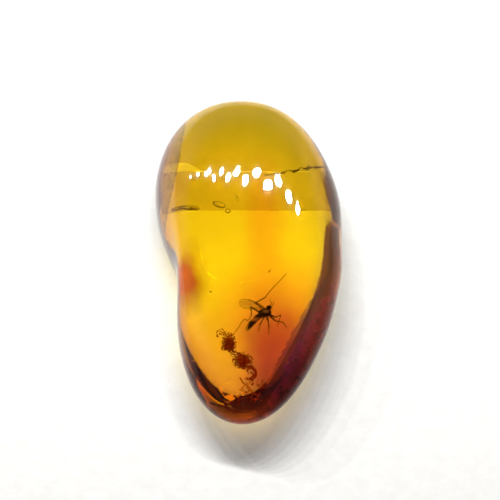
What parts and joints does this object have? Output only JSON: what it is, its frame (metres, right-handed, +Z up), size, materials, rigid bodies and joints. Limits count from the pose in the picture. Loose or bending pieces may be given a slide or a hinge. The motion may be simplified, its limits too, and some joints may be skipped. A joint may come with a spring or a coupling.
{
  "type": "insect in amber",
  "caption": "Bean-shaped polished pebble of clear golden amber with a small fly, plant debris and a resin-flow seam sealed inside; lies on a small flat.",
  "frame": {"origin": "bottom centre of the pebble's box, on the surface that it lies on", "axes": "+Y along the pebble's length towards its wide end, +Z up through its thickness, +X away from the hollow flank"},
  "size_m": [0.016, 0.028, 0.0102],
  "materials": {
    "amber": "polished, clear golden amber",
    "fly_cuticle": "dark brown insect cuticle, satin",
    "plant_debris": "rough brown bark crumbs and fibre"
  },
  "bodies": {
    "root": {"amber_lower": "amber", "amber_upper": "amber", "fly": "fly_cuticle", "debris_crumb_upper": "plant_debris", "debris_crumb_lower": "plant_debris", "debris_curl": "plant_debris", "debris_fibre": "plant_debris"}
  },
  "joints": []
}
